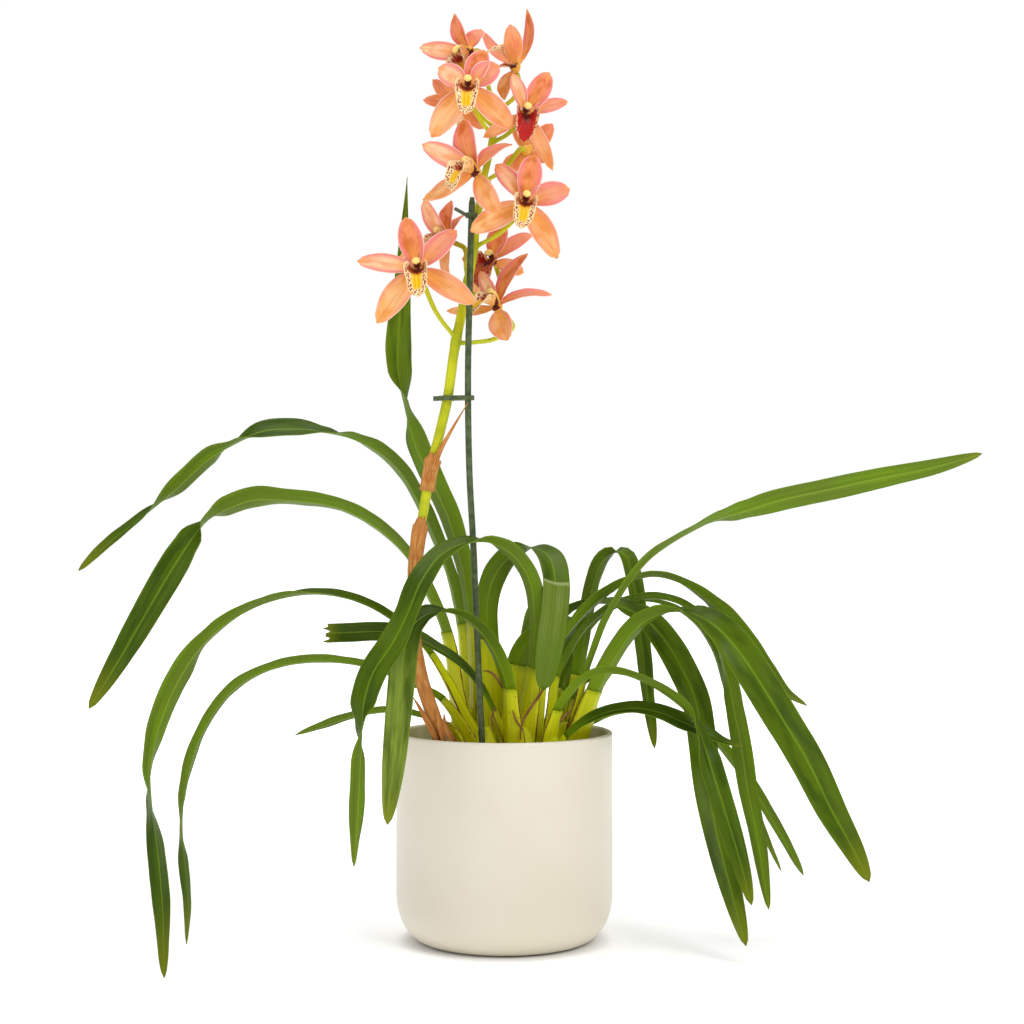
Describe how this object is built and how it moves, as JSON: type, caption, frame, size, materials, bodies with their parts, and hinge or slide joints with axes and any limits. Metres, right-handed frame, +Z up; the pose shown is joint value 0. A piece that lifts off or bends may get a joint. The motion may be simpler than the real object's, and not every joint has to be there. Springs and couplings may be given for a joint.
{
  "type": "potted orchid",
  "caption": "Cymbidium orchid in a cream cover pot, with arching strap leaves and one staked spike of salmon blooms with spotted lips.",
  "frame": {"origin": "middle of the pot's flat foot, on the surface the pot stands on", "axes": "+Z up; the pictured front looks toward -Y; +X to the right of that view"},
  "size_m": [0.6738, 0.325, 0.6882],
  "materials": {
    "pot_ceramic": "satin",
    "bark": "matte",
    "leaf_base": "satin",
    "leaf_blade": "satin",
    "stem": "satin",
    "dry_sheath": "matte",
    "stake_plastic": "satin",
    "tepal": "matte",
    "lip": "satin"
  },
  "bodies": {
    "root": {"pot": "pot_ceramic", "potting_bark": "bark", "leaf_bases": "leaf_base", "leaf_upright": "leaf_blade", "leaf_left_1": "leaf_blade", "leaf_left_2": "leaf_blade", "leaf_left_3": "leaf_blade", "leaf_left_4": "leaf_blade", "leaf_left_cut": "leaf_blade", "leaf_left_low": "leaf_blade", "leaf_arch_tall": "leaf_blade", "leaf_arch_low": "leaf_blade", "leaf_folded": "leaf_blade", "leaf_back_1": "leaf_blade", "leaf_back_2": "leaf_blade", "leaf_right_far": "leaf_blade", "leaf_right_1": "leaf_blade", "leaf_right_wide": "leaf_blade", "leaf_right_2": "leaf_blade", "leaf_right_hang": "leaf_blade", "leaf_right_hang_back": "leaf_blade", "leaf_loop": "leaf_blade", "leaf_thin_arch": "leaf_blade", "leaf_thin_back": "leaf_blade", "leaf_low_dark": "leaf_blade", "leaf_low_short": "leaf_blade", "flower_stem": "stem", "stem_sheath": "dry_sheath", "stem_bract": "dry_sheath", "stake": "stake_plastic", "clip_lower": "stake_plastic", "clip_upper": "stake_plastic", "bloom_01_tepals": "tepal", "bloom_01_lip": "lip", "bloom_02_tepals": "tepal", "bloom_02_lip": "lip", "bloom_03_tepals": "tepal", "bloom_03_lip": "lip", "bloom_04_tepals": "tepal", "bloom_04_lip": "lip", "bloom_05_tepals": "tepal", "bloom_05_lip": "lip", "bloom_06_tepals": "tepal", "bloom_06_lip": "lip", "bloom_07_tepals": "tepal", "bloom_07_lip": "lip", "bloom_08_tepals": "tepal", "bloom_08_lip": "lip", "bloom_09_tepals": "tepal", "bloom_09_lip": "lip", "bloom_10_tepals": "tepal", "bloom_10_lip": "lip", "bloom_11_tepals": "tepal", "bloom_11_lip": "lip", "bloom_12_tepals": "tepal", "bloom_12_lip": "lip"}
  },
  "joints": []
}
